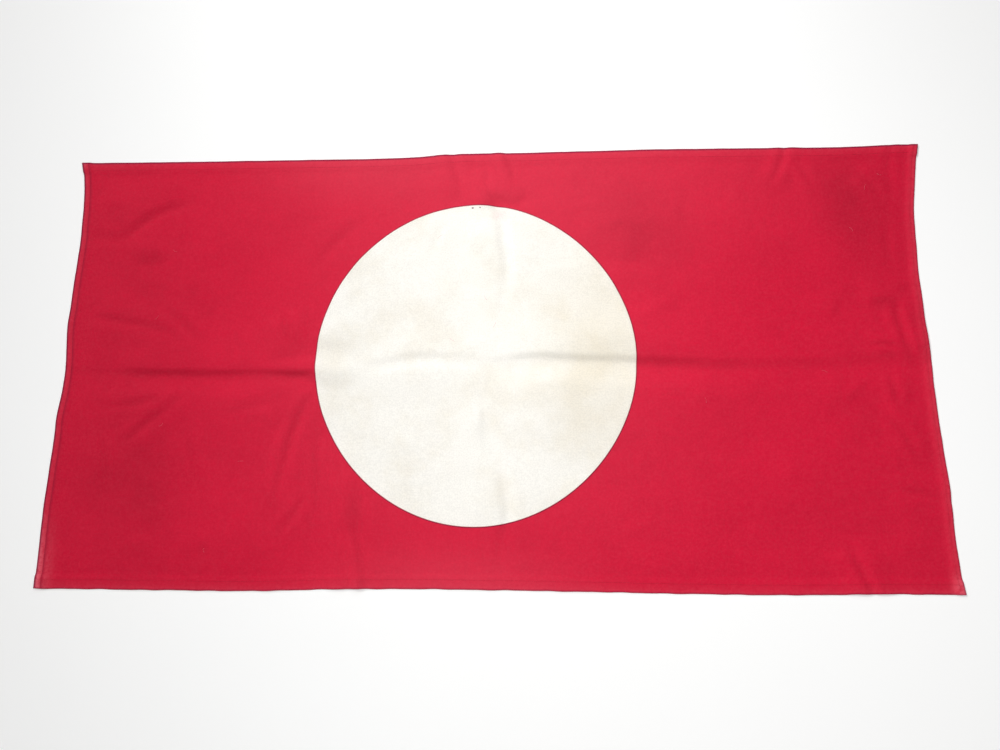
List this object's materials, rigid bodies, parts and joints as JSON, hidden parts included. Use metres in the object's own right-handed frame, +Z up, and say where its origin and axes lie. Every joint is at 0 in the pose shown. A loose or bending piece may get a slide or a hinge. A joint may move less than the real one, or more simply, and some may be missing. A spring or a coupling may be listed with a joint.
{
  "type": "flag laid out flat",
  "caption": "Rectangular red cotton flag lying flat, with turned hems, old storage folds and a plain white disc sewn to its face.",
  "frame": {"origin": "centre of the bounding box's lowest plane, on the surface the flag lies on", "axes": "+X along the flag from its pole edge to its free edge, +Y from its lower edge to its upper edge, +Z up out of its face"},
  "size_m": [1.504, 0.7628, 0.0078],
  "materials": {
    "red_cotton": "matte plain weave, slightly faded at the hems",
    "white_cotton": "matte plain weave, faintly soiled"
  },
  "bodies": {
    "root": {"red_field": "red_cotton", "white_disc": "white_cotton"}
  },
  "joints": []
}
